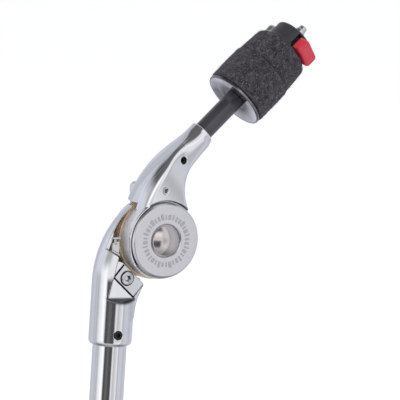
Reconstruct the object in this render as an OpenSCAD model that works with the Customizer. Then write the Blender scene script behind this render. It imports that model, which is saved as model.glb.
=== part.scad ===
// Boom arm of a cymbal boom stand with its friction-clutch tilter, cymbal sleeve, felts and quick-release nut.
// Frame: origin at the centre of the boom tube's lower end, +Z up the tube, pivot axis along Y, rod leaning to +X.

/* [Boom tube] */
// Outer radius of the boom tube (3/4 in tube)
tube_r = 9.525; // [9.3:0.005:9.6]
// Length of tube below the tilter's collar
tube_free = 200; // [120:5:450]
// Wall of the boom tube
tube_wall = 1.25; // [1:0.05:1.6]

/* [Tilter] */
// Angle between the boom tube and the cymbal rod
tilt = 46; // [40:1:60]
// Offset of the tube's and the rod's axes from the pivot
off = 24.5; // [24:0.1:25]
// Height of the pivot above the collar's lower edge
pivot_h = 59.5; // [58:0.5:62]
// Radius of the collar and neck
collar_r = 12.1; // [12:0.05:12.4]
// Radius of the round pivot cap
cap_r = 21; // [20.5:0.1:21.2]
// Half width of the arm at its cheeks
arm_w = 12; // [11.5:0.1:12]

/* [Cymbal seat] */
// Radius of the cymbal sleeve
sleeve_r = 5.55; // [5.4:0.05:5.7]
// Radius of the cymbal rod
rod_r = 3; // [2.9:0.05:3.2]
// Radius of the felts
felt_r = 18.6; // [17:0.1:19.5]
// Thickness of the lower felt
felt_low_h = 22.2; // [20:0.1:22.4]
// Thickness of the upper felt
felt_up_h = 16.6; // [15:0.1:16.8]

/* [Clutch] */
// Radius of the brass clutch plates
brass_r = 23; // [22.5:0.1:23.2]
// Radius of the steel clutch plates
steel_r = 22.4; // [22:0.1:22.6]

/* [Hidden] */
$fn = 96;
px = off;                      // pivot, in the row frame
pz = tube_free + pivot_h;
spigot = 24;                   // tube held inside the collar
spigot_r = 9.2;
bend_r = 44.7;                 // neck's centre line
bend_c = [bend_r - off, -24.3];
bend_end = 129;                // angle of the guard's tip about the bend's centre
cav_r = 24.2;                  // clutch cavity
hub_r = 22;                    // arm's hub behind the cap
hub_y0 = -8.7;                 // front of the arm's hub
hub_y1 = -0.5;                 // back of the arm's hub
ear_y = 6.5;                   // front of the base's rear ear
back_y = 12.1;
key_a = 229.5;                 // direction from the pivot to the keeper block
plate_t = 0.9;
plate_n = 7;                   // brass and steel in turn
plate_pitch = 0.98;
felt_a = 88.8;                 // heights along the rod from the pivot
seam_a = felt_a + felt_low_h;
top_a = seam_a + felt_up_h + 0.2;
nut_a = top_a + 1.1;
nut_h = 10.8;
tip_a = 147;
btn_z = nut_a + 4.5;           // middle of the release button
btn_turn = 23;                 // the button's heading about the rod, from -Y

module at_pivot() { translate([px, 0, pz]) children(); }
module on_arm() { translate([px, 0, pz]) rotate([0, tilt, 0]) children(); }
module on_rod() { on_arm() translate([-off, 0, 0]) children(); }
module on_nut() { on_rod() rotate([0, 0, btn_turn]) children(); }
module ycyl(r, y0, y1) { translate([0, y0, 0]) rotate([-90, 0, 0]) cylinder(r = r, h = y1 - y0); }
module xz(y0, y1) { translate([0, y1, 0]) rotate([90, 0, 0]) linear_extrude(height = y1 - y0) children(); }
module yz(x0, x1) { translate([x0, 0, 0]) rotate([90, 0, 90]) linear_extrude(height = x1 - x0) children(); }
module hex_socket(r, h) { cylinder(r = r, h = h, $fn = 6); }
module ring(ro, ri, h) { difference() { cylinder(r = ro, h = h); translate([0, 0, -1]) cylinder(r = ri, h = h + 2); } }
// along the block's own directions: x tangential, y radial outward
module key_frame() { rotate([0, 90 - key_a, 0]) children(); }

// ---------------------------------------------------------------- boom tube
module boom_tube() {
  color("silver") difference() {
    union() {
      cylinder(r = tube_r, h = tube_free);
      cylinder(r = spigot_r, h = tube_free + spigot);
    }
    translate([0, 0, -1]) cylinder(r = tube_r - tube_wall, h = tube_free + spigot + 2);
  }
}

module tube_end_plug() {
  color("black") difference() {
    union() {
      translate([0, 0, -2]) cylinder(r = 9.3, h = 1.98);
      translate([0, 0, -0.5]) cylinder(r = tube_r - tube_wall - 0.02, h = 16.5);
    }
    translate([0, 0, 2]) cylinder(r = 6.4, h = 20);
  }
}

// ---------------------------------------------------------------- tilter base
module base_solid() {
  translate([-off, 0, -pivot_h]) rotate_extrude() {
    translate([0, 2.2]) square([collar_r, pivot_h + bend_c[1] - 2.2]);
    square([collar_r - 2.2, 2.3]);
    translate([collar_r - 2.2, 2.2]) circle(r = 2.2);
  }
  translate([bend_c[0], 0, bend_c[1]]) rotate([90, 0, 0]) rotate([0, 0, bend_end])
    rotate_extrude(angle = 180 - bend_end) translate([bend_r, 0]) circle(r = collar_r);
  ycyl(21.5, ear_y, back_y - 0.3);
  xz(-8.6, back_y - 0.6) polygon([[-24.5, -47], [-15.4, -43.5], [-14.2, -37], [-12.4, -31.5], [-9.6, -25.2], [-8.2, -20.6], [-5, -19.5], [-12, -10], [-22, -12]]);
}

module tilter_base() {
  color("silver") at_pivot() difference() {
    base_solid();
    // tube socket
    translate([-off, 0, -pivot_h - 1]) cylinder(r = spigot_r + 0.05, h = spigot + 1);
    // cavity for the hub and the clutch plates, and the hollow guard round it
    ycyl(cav_r, -20, ear_y);
    intersection() {
      translate([bend_c[0], 0, bend_c[1]]) rotate([90, 0, 0]) rotate([0, 0, 149])
        rotate_extrude(angle = 16) translate([bend_r, 0]) circle(r = collar_r - 2.2);
      translate([-60, -20, -20]) cube([80, 20 + ear_y + 0.1, 60]);
    }
    // window in front of the guard, cut along the keeper block's inner edge
    key_frame() translate([-60, -20, -60]) cube([120, 16, 60 + 25.2]);
    // flat cheek with its sloped run-out
    xz(-20, -9) polygon([[-32.5, -33], [-27.6, -8.5], [-20, 0], [10, 0], [10, -33]]);
    intersection() {
      yz(-34.3, 10) polygon([[-8.9, -32.9], [-20, -32.9], [-20, -40], [-12.4, -34.8], [-9, -33]]);
      translate([-34.3, -20, -40]) cube([60, 20, 20]);
    }
    // recess for the keeper block, open to the window
    key_frame() translate([-8.4, -20, 20]) cube([17.6, 16.9, 15.2]);
    key_frame() translate([2.3, 0, 29.9]) ycyl(2.05, -6, 6);
    // pivot bush and base set screw
    ycyl(6.05, 0, 20);
    translate([-off, 0, 6.7 - pivot_h]) ycyl(2.45, -20, 0);
  }
}

module base_set_screw() {
  color("black") translate([0, 0, tube_free + 6.7]) difference() {
    ycyl(2.42, -12, -9.25);
    translate([0, -12.1, 0]) rotate([-90, 0, 0]) hex_socket(1.45, 1.8);
  }
}

module keeper_block() {
  color("gainsboro") at_pivot() key_frame() difference() {
    translate([-7.9, -9.3, 25.3]) cube([16.6, 6, 9.4]);
    translate([2.3, 0, 29.9]) ycyl(4.15, -20, -7.7);
    translate([2.3, 0, 29.9]) ycyl(2.05, -20, 0);
  }
}

module keeper_screw() {
  color("silver") at_pivot() key_frame() translate([2.3, 0, 29.9]) difference() {
    union() {
      ycyl(3.75, -10, -7.7);
      ycyl(2, -8, 5);
    }
    translate([-2.1, -10.2, -0.45]) cube([4.2, 1.7, 0.9]);
    translate([-0.45, -10.2, -2.1]) cube([0.9, 1.7, 4.2]);
  }
}

// spring-steel clip over the brass plates' tongues, with a small eye on top
module keeper_clip() {
  color("lightgray") at_pivot() {
    xz(-5.3, -4.4) polygon([[-29.2, -2.4], [-25.4, -1.3], [-24.7, -5], [-24.9, -8.6], [-29.4, -6.4]]);
    translate([-26.7, -4.9, -2.2]) cube([1.4, 10.9, 0.9]);
    translate([-28, -6.7, 0.8]) rotate([-8, 0, 0]) translate([0, 0, -0.5]) ring(2.4, 1.5, 1);
    translate([-27.7, -4.85, -2.8]) cylinder(r = 0.7, h = 3.7);
  }
}

// ---------------------------------------------------------------- clutch
function plate_y(i) = hub_y1 + 0.05 + i * plate_pitch;

module brass_clutch_plates() {
  color("peru") at_pivot() for (i = [0, 2, 4, 6])
    xz(plate_y(i), plate_y(i) + plate_t) difference() {
      union() {
        circle(r = brass_r);
        translate([-27.6, -6.1]) square([8, 3]);
      }
      circle(r = 9.6);
    }
}

module steel_clutch_plates() {
  color("gray") on_arm() for (i = [1, 3, 5])
    translate([0, plate_y(i), 0]) rotate([-90, 0, 0]) difference() {
      cylinder(r = steel_r, h = plate_t);
      translate([0, 0, -1]) cylinder(r = 9.15, h = 5, $fn = 6);
    }
}

module pivot_bush() {
  color("white") at_pivot() difference() {
    union() {
      ycyl(6, ear_y + 0.1, back_y);
      ycyl(8, back_y - 0.3, back_y + 0.9);
    }
    ycyl(4.08, 0, 20);
  }
}

// ---------------------------------------------------------------- tilter arm
arc_c = [3, 42.2];
arc_r = 20.3;
left_edge = [[-21.4, -0.6], [-24.4, 3.8], [-28.4, 9.2], [-34, 20], [-34, 34], [-33, 44], [-31.8, 54]];
spine_r = 69.5;
half_w = [[arm_w, -30], [arm_w, 17], [11.2, 24], [9.6, 34], [8.2, 44], [7.2, 54]];   // half width and height
right_edge = [for (t = [180:9:261]) arc_c + arc_r * [cos(t), sin(t)]];
socket_top = 60.3;
socket_r = 7.2;

module arm_blank() {
  intersection() {
    xz(-20, 20) polygon(concat(left_edge, [[-18.9, 54], [-17.8, 48]], right_edge, [[0, 10]]));
    yz(-60, 30) polygon(concat([for (p = half_w) [-p[0], p[1]]], [for (i = [len(half_w) - 1:-1:0]) half_w[i]]));
    // rounded spine
    translate([36.5, 0, 33.3]) rotate([90, 0, 0]) rotate_extrude() {
      translate([spine_r - 21, 0]) intersection() {
        circle(r = 21);
        translate([0, -20]) square([30, 40]);
      }
      translate([0, -20]) square([spine_r - 20.9, 40]);
    }
  }
  translate([-off, 0, 36]) cylinder(r = socket_r, h = socket_top - 36);
}

module tilter_arm() {
  color("silver") on_arm() difference() {
    union() {
      difference() {
        arm_blank();
        ycyl(hub_r + 0.2, -20, hub_y0);
        ycyl(24.7, -4.1, 20);
      }
      ycyl(hub_r, hub_y0, hub_y1);
      // lip beside the cap, in line with the casting's left edge
      xz(-11.9, -8) difference() {
        intersection() {
          circle(r = hub_r + 0.4);
          polygon([[0, 1], [-40, 1], [-40, -40], [1, -40]]);
        }
        circle(r = cap_r + 0.25);
      }
      translate([0, hub_y1 - 1, 0]) rotate([-90, 0, 0]) cylinder(r = 9, h = ear_y - hub_y1 + 0.8, $fn = 6);
    }
    // rod socket
    translate([-off, 0, 30]) cylinder(r = rod_r + 0.03, h = 40);
    // square seat of the carriage bolt, and the bolt's bore
    translate([-4.55, -12, -4.55]) cube([9.1, 5.4, 9.1]);
    ycyl(4.05, -12, 20);
    // set screw and roll pin
    translate([-off, 0, 38.5]) ycyl(1.95, -20, 0);
    translate([-21, 0, 18.2]) ycyl(1.72, -20, -5.2);
  }
}

module arm_set_screw() {
  color("black") on_arm() translate([-off, 0, 38.5]) difference() {
    ycyl(1.92, -8, -3.05);
    translate([0, -8.1, 0]) rotate([-90, 0, 0]) hex_socket(1.15, 1.6);
  }
}

module arm_roll_pin() {
  color("silver") on_arm() translate([-21, 0, 18.2]) difference() {
    ycyl(1.7, -11.9, -5.3);
    ycyl(1.05, -13, 0);
    translate([-0.25, -13, 0]) cube([0.5, 14, 3]);
  }
}

module pivot_cap() {
  color("lightgray") on_arm() difference() {
    union() {
      ycyl(cap_r, -11.7, -8.75);
      ycyl(cap_r - 1.3, -13, -11.6);
      for (i = [0:35]) rotate([0, i * 10, 0]) translate([-0.45, -13.3, 12.8]) cube([0.9, 0.5, i % 3 == 0 ? 3.8 : 2.2]);
    }
    ycyl(8.9, -20, -11.4);
    translate([-4.55, -20, -4.55]) cube([9.1, 20, 9.1]);
  }
}

module pivot_bolt() {
  color("darkgray") on_arm() {
    difference() {
      translate([0, -2.35, 0]) sphere(r = 13.5);
      translate([-20, -11.45, -20]) cube([40, 40, 40]);
      difference() {
        ycyl(30, -30, -11);
        ycyl(8.5, -31, -10);
      }
    }
    translate([-4.5, -11.5, -4.5]) cube([9, 4.8, 9]);
    ycyl(4, -7, 29);
  }
}

module thrust_washer() {
  color("silver") at_pivot() difference() {
    ycyl(8.4, 13.1, 14.7);
    ycyl(4.25, 10, 20);
  }
}

module wing_nut() {
  color("silver") at_pivot() difference() {
    union() {
      ycyl(8, 14.8, 17);
      translate([0, 17, 0]) rotate([-90, 0, 0]) cylinder(r1 = 8, r2 = 6.6, h = 9);
      for (s = [0, 180]) rotate([0, s, 0]) yz(-2.3, 2.3)
        polygon([[15.6, 4], [16.4, 12], [18, 20], [20.4, 26], [23.4, 28.6], [26.6, 28.8], [28.9, 27.2], [29.4, 24], [28.6, 17], [26.8, 10], [25.4, 4]]);
    }
    ycyl(4.1, 10, 40);
  }
}

// ---------------------------------------------------------------- rod, sleeve, felts
module cymbal_rod() {
  color("silver") on_rod() {
    translate([0, 0, 30.1]) cylinder(r = rod_r, h = 114.5);
    translate([0, 0, 144.5]) cylinder(r = 2.4, h = tip_a - 144.5 - 0.6);
    translate([0, 0, tip_a - 0.7]) cylinder(r1 = 2.4, r2 = 1.8, h = 0.7);
  }
}

module cymbal_sleeve() {
  color("black") on_rod() translate([0, 0, socket_top + 0.05])
    ring(sleeve_r, rod_r + 0.05, 62);
}

module seat_washer() {
  color("silver") on_rod() translate([0, 0, felt_a]) rotate_extrude()
    polygon([[5.65, -2.4], [7.6, -2.4], [10, -1.5], [16.4, -0.9], [17.7, -1.9], [18.1, -1.7], [18.1, -1.0], [17.2, -0.05], [5.65, -0.05]]);
}

module felt(h) {
  rotate_extrude() polygon([[5.6, 0], [felt_r - 1, 0], [felt_r - 0.3, 0.4], [felt_r, 1.2], [felt_r, h - 1.6], [felt_r - 0.5, h - 0.5], [felt_r - 1.6, h], [5.6, h]]);
}

module lower_felt() { color("dimgray") on_rod() translate([0, 0, felt_a]) felt(felt_low_h); }
module upper_felt() { color("dimgray") on_rod() translate([0, 0, seam_a + 0.1]) felt(felt_up_h); }

// ---------------------------------------------------------------- quick-release nut
module nut_flange() {
  color("silver") on_rod() translate([0, 0, top_a]) ring(14.2, 6.2, 1);
}

// channel that the slide and the button run in, along the nut's own Y
module channel(w, h, y0, y1) { translate([-w / 2, y0, btn_z - h / 2]) cube([w, y1 - y0, h]); }

module nut_shell() {
  color("black") on_nut() difference() {
    union() {
      translate([0, 0, nut_a]) cylinder(r = 12.9, h = 1.2);
      translate([0, 0, nut_a + 1.1]) cylinder(r = 12, h = nut_h - 2.3);
      translate([0, 0, nut_a + nut_h - 1.3]) cylinder(r1 = 12, r2 = 11, h = 1.3);
    }
    translate([0, 0, nut_a - 1]) cylinder(r = 5.05, h = 40);
    channel(12.2, 6.4, -20, 20);
    translate([-8.2, -20, nut_a - 1]) cube([16.4, 13.6, btn_z + 4.4 - nut_a + 1]);
    translate([-8.2, 9.6, nut_a - 1]) cube([16.4, 10, btn_z + 4.4 - nut_a + 1]);
    translate([0, 0, nut_a + nut_h - 1.4]) cylinder(r = 8, h = 4);
  }
}

module nut_thread_insert() {
  color("goldenrod") on_nut() difference() {
    translate([0, 0, nut_a + 0.1]) cylinder(r = 5, h = nut_h - 1.6);
    translate([0, 0, nut_a - 1]) cylinder(r = rod_r + 0.15, h = 40);
    channel(12.2, 6.4, -20, 20);
  }
}

module nut_top_ring() {
  color("black") on_nut() translate([0, 0, nut_a + nut_h - 1.35]) ring(7.9, 3.3, 1.25);
}

module release_button() {
  color("crimson") on_nut() translate([0, -9.9, btn_z]) rotate([90, 0, 0]) difference() {
    union() {
      translate([-8, -3.1, 0]) cube([16, 6.2, 5.4]);
      translate([-6.9, -4.1, 0]) cube([13.8, 8.2, 5.4]);
      translate([-6.9, -3.1, 0]) cube([13.8, 6.2, 6.2]);
    }
    translate([-4.2, -1.5, -1]) cube([8.4, 3, 3.5]);
  }
}

module lock_slide() {
  color("silver") on_nut() difference() {
    union() {
      channel(12, 6.2, -9.8, 9.8);
      translate([-4.1, -12.2, btn_z - 1.4]) cube([8.2, 2.6, 2.8]);
      channel(14.4, 6.6, 9.9, 15.6);
      channel(13, 5, 9.7, 15.9);
    }
    hull() {
      translate([0, 0, btn_z - 10]) cylinder(r = rod_r + 0.2, h = 20, $fn = 32);
      translate([0, -3.6, btn_z - 10]) cylinder(r = rod_r + 0.2, h = 20, $fn = 32);
    }
    translate([3.6, -7.6, btn_z - 1.3]) cube([2.6, 6.2, 2.6]);
  }
}

// coil of the button's return spring, in the slide's pocket
module button_spring() {
  color("gray") on_nut() translate([4.9, -7.5, btn_z]) for (i = [0:4])
    translate([0, i * 1.35, 0]) rotate([-90, 0, 0]) ring(1.15, 0.75, 0.5);
}

boom_tube();
tube_end_plug();
tilter_base();
base_set_screw();
keeper_block();
keeper_screw();
keeper_clip();
brass_clutch_plates();
pivot_bush();
tilter_arm();
arm_set_screw();
arm_roll_pin();
steel_clutch_plates();
pivot_cap();
pivot_bolt();
thrust_washer();
wing_nut();
cymbal_rod();
cymbal_sleeve();
seat_washer();
lower_felt();
upper_felt();
nut_flange();
nut_shell();
nut_thread_insert();
nut_top_ring();
release_button();
lock_slide();
button_spring();
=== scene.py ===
import bpy
import bmesh
import math
import numpy as np
from mathutils import Matrix, Vector


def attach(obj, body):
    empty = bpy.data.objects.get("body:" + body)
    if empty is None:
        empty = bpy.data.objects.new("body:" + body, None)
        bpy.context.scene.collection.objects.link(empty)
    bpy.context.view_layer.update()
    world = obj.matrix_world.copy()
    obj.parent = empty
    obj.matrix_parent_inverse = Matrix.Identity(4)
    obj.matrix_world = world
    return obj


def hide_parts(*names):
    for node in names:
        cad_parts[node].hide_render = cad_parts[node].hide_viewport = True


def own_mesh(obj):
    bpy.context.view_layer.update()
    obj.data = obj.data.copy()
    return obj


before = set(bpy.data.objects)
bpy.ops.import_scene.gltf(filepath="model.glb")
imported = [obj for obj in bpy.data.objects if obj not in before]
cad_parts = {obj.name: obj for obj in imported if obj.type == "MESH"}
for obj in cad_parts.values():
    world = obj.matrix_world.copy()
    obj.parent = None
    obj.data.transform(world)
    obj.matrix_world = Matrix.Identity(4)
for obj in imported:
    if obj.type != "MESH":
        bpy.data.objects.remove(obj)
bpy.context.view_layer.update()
scene = bpy.context.scene
MM = 0.001

# ------------------------------------------------------------------ places, in mm, as the CAD has them
OFF = 24.5
PIVOT = np.array([24.5, 0.0, 259.5])
TILT = math.radians(46)


def arm_point(x, y, a):
    """arm frame (x, y, along the rod) -> row frame, mm"""
    return PIVOT + np.array([x * math.cos(TILT) + a * math.sin(TILT), y, -x * math.sin(TILT) + a * math.cos(TILT)])


def rod_point(x, y, a):
    return arm_point(x - OFF, y, a)


# ------------------------------------------------------------------ camera
AZ, EL, LEAN = math.radians(-30.8), math.radians(6.1), math.radians(3.74)
DIST = 2.0
back = Vector((math.sin(AZ) * math.cos(EL), -math.cos(AZ) * math.cos(EL), math.sin(EL)))
right0 = Vector((math.cos(AZ), math.sin(AZ), 0))
up0 = back.cross(right0)
right = right0 * math.cos(LEAN) + up0 * math.sin(LEAN)
up = up0 * math.cos(LEAN) - right0 * math.sin(LEAN)
SCALE = 1.806  # frame pixels per mm at the pivot cap
disc = Vector((24.5, -13.0, 259.5)) * MM
target = disc + right * ((200 - 166.3) / SCALE * MM) + up * ((241 - 200) / SCALE * MM)
cam_data = bpy.data.cameras.new("camera")
cam_data.sensor_width = 36.0
cam_data.lens = 36.0 * DIST / (400 / SCALE * MM)
cam_data.clip_end = 100
cam = bpy.data.objects.new("camera", cam_data)
scene.collection.objects.link(cam)
loc = target + back * DIST
m = Matrix((right, up, back)).transposed().to_4x4()
m.translation = loc
cam.matrix_world = m
scene.camera = cam

# ------------------------------------------------------------------ colour and light
scene.view_settings.view_transform = "Standard"
scene.view_settings.look = "None"
scene.view_settings.exposure = 0.0

world = bpy.data.worlds.new("studio")
scene.world = world
world.use_nodes = True
wn, wl = world.node_tree.nodes, world.node_tree.links
wn.clear()


def wmath(op, a, b=None, clamp=False):
    n = wn.new("ShaderNodeMath")
    n.operation = op
    n.use_clamp = clamp
    for i, v in enumerate((a, b)):
        if v is None:
            continue
        if isinstance(v, (int, float)):
            n.inputs[i].default_value = v
        else:
            wl.new(v, n.inputs[i])
    return n.outputs[0]


def wstep(x, lo, hi):
    n = wn.new("ShaderNodeMapRange")
    n.interpolation_type = "SMOOTHSTEP"
    wl.new(x, n.inputs["Value"])
    n.inputs["From Min"].default_value = lo
    n.inputs["From Max"].default_value = hi
    return n.outputs["Result"]


coord = wn.new("ShaderNodeTexCoord")
sep = wn.new("ShaderNodeSeparateXYZ")
wl.new(coord.outputs["Generated"], sep.inputs[0])
dx, dy, dz = sep.outputs


def wdot(v):
    """the direction's component along v"""
    return wmath("ADD", wmath("ADD", wmath("MULTIPLY", dx, v[0]), wmath("MULTIPLY", dy, v[1])), wmath("MULTIPLY", dz, v[2]))


# studio: a white tent with an open, dark side where the photographer stands, and a grey roof strip
side = wdot(right0)
front = wdot((math.sin(AZ), -math.cos(AZ), 0.0))
azim = wmath("MULTIPLY", wmath("ARCTAN2", side, front), 180 / math.pi)   # 0 towards the photographer
elev = wmath("MULTIPLY", wmath("ARCSINE", dz), 180 / math.pi)
dark_az = wmath("MULTIPLY", wstep(azim, -36, -26), wmath("SUBTRACT", 1.0, wstep(azim, 17, 28)))
dark_core = wmath("MULTIPLY", wstep(azim, -22, -8), wmath("SUBTRACT", 1.0, wstep(azim, -6, 8)))
dark_el = wmath("MULTIPLY", wstep(elev, -44, -30), wmath("SUBTRACT", 1.0, wstep(elev, -6, -2)))
dark = wmath("MULTIPLY", dark_az, dark_el)
tent = wmath("SUBTRACT", 0.90, wmath("MULTIPLY", wstep(wmath("ABSOLUTE", azim), 48, 95), 0.24))
tent = wmath("SUBTRACT", tent, wmath("MULTIPLY", wmath("SUBTRACT", 1.0, wstep(elev, -62, -24)), 0.42))
# folds of the cloth
wave = wmath("ADD", wmath("SINE", wmath("MULTIPLY", azim, 0.15)), wmath("MULTIPLY", wmath("SINE", wmath("ADD", wmath("MULTIPLY", azim, 0.41), 1.0)), 0.7))
tent = wmath("ADD", tent, wmath("MULTIPLY", wmath("MULTIPLY", wave, wstep(wmath("ABSOLUTE", azim), 25, 45)), 0.055))
# soft vertical seams of the tent panels
seam = wmath("MULTIPLY", wstep(azim, 60, 66), wmath("SUBTRACT", 1.0, wstep(azim, 68, 80)))
seam2 = wmath("MULTIPLY", wstep(azim, -88, -80), wmath("SUBTRACT", 1.0, wstep(azim, -74, -68)))
tent = wmath("SUBTRACT", tent, wmath("MULTIPLY", wmath("ADD", seam, seam2), 0.18))
# a bright panel on the left and a greyer one on the right
value = wmath("ADD", wmath("MULTIPLY", tent, wmath("SUBTRACT", 1.0, wmath("MULTIPLY", dark, wmath("SUBTRACT", 0.91, wmath("MULTIPLY", dark_core, 0.07))))), 0.0)
low_band = wmath("MULTIPLY", wstep(elev, -24, -8), wmath("SUBTRACT", 1.0, wstep(elev, 2, 14)))
lamp_r = wmath("MULTIPLY", wmath("MULTIPLY", wstep(azim, 26, 36), wmath("SUBTRACT", 1.0, wstep(azim, 48, 60))), low_band)
lamp_l = wmath("MULTIPLY", wmath("MULTIPLY", wstep(azim, -74, -44), wmath("SUBTRACT", 1.0, wstep(azim, -42, -30))), low_band)
lamp_u = wmath("MULTIPLY", wmath("MULTIPLY", wstep(azim, -126, -96), wmath("SUBTRACT", 1.0, wstep(azim, -74, -54))), wmath("MULTIPLY", wstep(elev, -4, 4), wmath("SUBTRACT", 1.0, wstep(elev, 22, 36))))
spot = wmath("MULTIPLY", wmath("MULTIPLY", wstep(azim, -16, -6), wmath("SUBTRACT", 1.0, wstep(azim, 20, 32))), wmath("MULTIPLY", wstep(elev, 12, 20), wmath("SUBTRACT", 1.0, wstep(elev, 30, 38))))
# the open top of the tent over the photographer: grey, with one lighter panel at the left
over = wmath("MULTIPLY", wmath("MULTIPLY", wstep(azim, -138, -96), wmath("SUBTRACT", 1.0, wstep(azim, 24, 48))), wmath("MULTIPLY", wstep(elev, 34, 46), wmath("SUBTRACT", 1.0, wstep(elev, 76, 86))))
over2 = wmath("MULTIPLY", wmath("MULTIPLY", wstep(azim, -82, -58), wmath("SUBTRACT", 1.0, wstep(azim, -38, -18))), wmath("MULTIPLY", wstep(elev, 1, 15), wmath("SUBTRACT", 1.0, wstep(elev, 34, 46))))
over = wmath("ADD", over, wmath("MULTIPLY", over2, 0.55))
strip = wmath("MULTIPLY", wstep(azim, -92, -86), wmath("SUBTRACT", 1.0, wstep(azim, -80, -74)))
value = wmath("MULTIPLY", value, wmath("SUBTRACT", 1.0, wmath("MULTIPLY", over, wmath("SUBTRACT", 0.84, wmath("MULTIPLY", strip, 0.14)))))
value = wmath("ADD", value, wmath("ADD", wmath("ADD", wmath("ADD", wmath("MULTIPLY", lamp_r, -0.26), wmath("MULTIPLY", lamp_l, 0.26)), wmath("MULTIPLY", lamp_u, 0.20)), wmath("MULTIPLY", spot, 0.35)))
tint = wn.new("ShaderNodeMix")
tint.data_type = "RGBA"
tint.inputs["A"].default_value = (1.0, 1.0, 1.0, 1)
tint.inputs["B"].default_value = (0.90, 0.92, 1.0, 1)
wl.new(wstep(wmath("ABSOLUTE", azim), 50, 100), tint.inputs["Factor"])
bg = wn.new("ShaderNodeBackground")
wl.new(tint.outputs["Result"], bg.inputs["Color"])
wl.new(value, bg.inputs["Strength"])
bg_cam = wn.new("ShaderNodeBackground")
bg_cam.inputs["Color"].default_value = (1, 1, 1, 1)
bg_cam.inputs["Strength"].default_value = 1.0
path = wn.new("ShaderNodeLightPath")
wmix = wn.new("ShaderNodeMixShader")
wl.new(path.outputs["Is Camera Ray"], wmix.inputs[0])
wl.new(bg.outputs[0], wmix.inputs[1])
wl.new(bg_cam.outputs[0], wmix.inputs[2])
wout = wn.new("ShaderNodeOutputWorld")
wl.new(wmix.outputs[0], wout.inputs[0])


def area_light(name, position, aim, size, power, color=(1, 1, 1)):
    data = bpy.data.lights.new(name, "AREA")
    data.shape = "RECTANGLE"
    data.size, data.size_y = size
    data.energy = power
    data.color = color
    o = bpy.data.objects.new(name, data)
    scene.collection.objects.link(o)
    o.location = position
    o.rotation_euler = (Vector(aim) - Vector(position)).to_track_quat("-Z", "Y").to_euler()
    o.visible_glossy = False
    return o


# ------------------------------------------------------------------ floor
bm = bmesh.new()
bmesh.ops.create_grid(bm, x_segments=2, y_segments=2, size=30)
floor_mesh = bpy.data.meshes.new("floor")
bm.to_mesh(floor_mesh)
bm.free()
floor = bpy.data.objects.new("floor", floor_mesh)
scene.collection.objects.link(floor)
floor.location.z = -2 * MM
floor.visible_glossy = False

# ------------------------------------------------------------------ materials


class Mat:
    """A node material with a few helpers."""

    def __init__(self, name):
        self.m = bpy.data.materials.new(name)
        self.m.use_nodes = True
        self.n, self.l = self.m.node_tree.nodes, self.m.node_tree.links
        self.bsdf = next(x for x in self.n if x.type == "BSDF_PRINCIPLED")
        self.geo = self.n.new("ShaderNodeTexCoord").outputs["Object"]

    def set(self, **kw):
        for k, v in kw.items():
            self.bsdf.inputs[k.replace("_", " ")].default_value = v
        return self

    def mapped(self, scale=(1, 1, 1), rot=(0, 0, 0), loc=(0, 0, 0)):
        n = self.n.new("ShaderNodeMapping")
        self.l.new(self.geo, n.inputs["Vector"])
        n.inputs["Scale"].default_value = scale
        n.inputs["Rotation"].default_value = rot
        n.inputs["Location"].default_value = loc
        return n.outputs[0]

    def noise(self, scale, detail=3, rough=0.5, vec=None, distortion=0.0):
        n = self.n.new("ShaderNodeTexNoise")
        self.l.new(vec or self.geo, n.inputs["Vector"])
        n.inputs["Scale"].default_value = scale
        n.inputs["Detail"].default_value = detail
        n.inputs["Roughness"].default_value = rough
        n.inputs["Distortion"].default_value = distortion
        return n.outputs["Fac"]

    def voronoi(self, scale, feature="F1", vec=None, rand=1.0):
        n = self.n.new("ShaderNodeTexVoronoi")
        n.feature = feature
        self.l.new(vec or self.geo, n.inputs["Vector"])
        n.inputs["Scale"].default_value = scale
        n.inputs["Randomness"].default_value = rand
        return n.outputs["Distance"]

    def ramp(self, x, stops):
        n = self.n.new("ShaderNodeValToRGB")
        self.l.new(x, n.inputs[0])
        e = n.color_ramp.elements
        while len(e) < len(stops):
            e.new(0.5)
        for i, (p, c) in enumerate(stops):
            e[i].position = p
            e[i].color = (*c, 1) if hasattr(c, "__len__") else (c, c, c, 1)
        return n.outputs[0]

    def math(self, op, a, b, clamp=False):
        n = self.n.new("ShaderNodeMath")
        n.operation = op
        n.use_clamp = clamp
        for i, v in enumerate((a, b)):
            if v is None:
                continue
            if isinstance(v, (int, float)):
                n.inputs[i].default_value = v
            else:
                self.l.new(v, n.inputs[i])
        return n.outputs[0]

    def mix(self, fac, a, b, mode="MIX"):
        n = self.n.new("ShaderNodeMix")
        n.data_type = "RGBA"
        n.blend_type = mode
        for k, v in (("Factor", fac), ("A", a), ("B", b)):
            if isinstance(v, (int, float)):
                n.inputs[k].default_value = v
            elif isinstance(v, tuple):
                n.inputs[k].default_value = (*v, 1)
            else:
                self.l.new(v, n.inputs[k])
        return n.outputs["Result"]

    def span(self, x, lo, hi):
        n = self.n.new("ShaderNodeMapRange")
        self.l.new(x, n.inputs["Value"])
        n.inputs["To Min"].default_value = lo
        n.inputs["To Max"].default_value = hi
        return n.outputs["Result"]

    def edges(self, radius, lo=0.55, hi=0.75):
        """1 on worn convex edges"""
        g = self.n.new("ShaderNodeNewGeometry")
        return self.ramp(g.outputs["Pointiness"], [(lo, 0.0), (hi, 1.0)])

    def to(self, socket, out):
        self.l.new(out, self.bsdf.inputs[socket])
        return self

    def bump(self, height, distance, strength=1.0, under=None):
        n = self.n.new("ShaderNodeBump")
        n.inputs["Strength"].default_value = strength
        n.inputs["Distance"].default_value = distance
        self.l.new(height, n.inputs["Height"])
        if under is not None:
            self.l.new(under, n.inputs["Normal"])
        return n.outputs[0]


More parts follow.
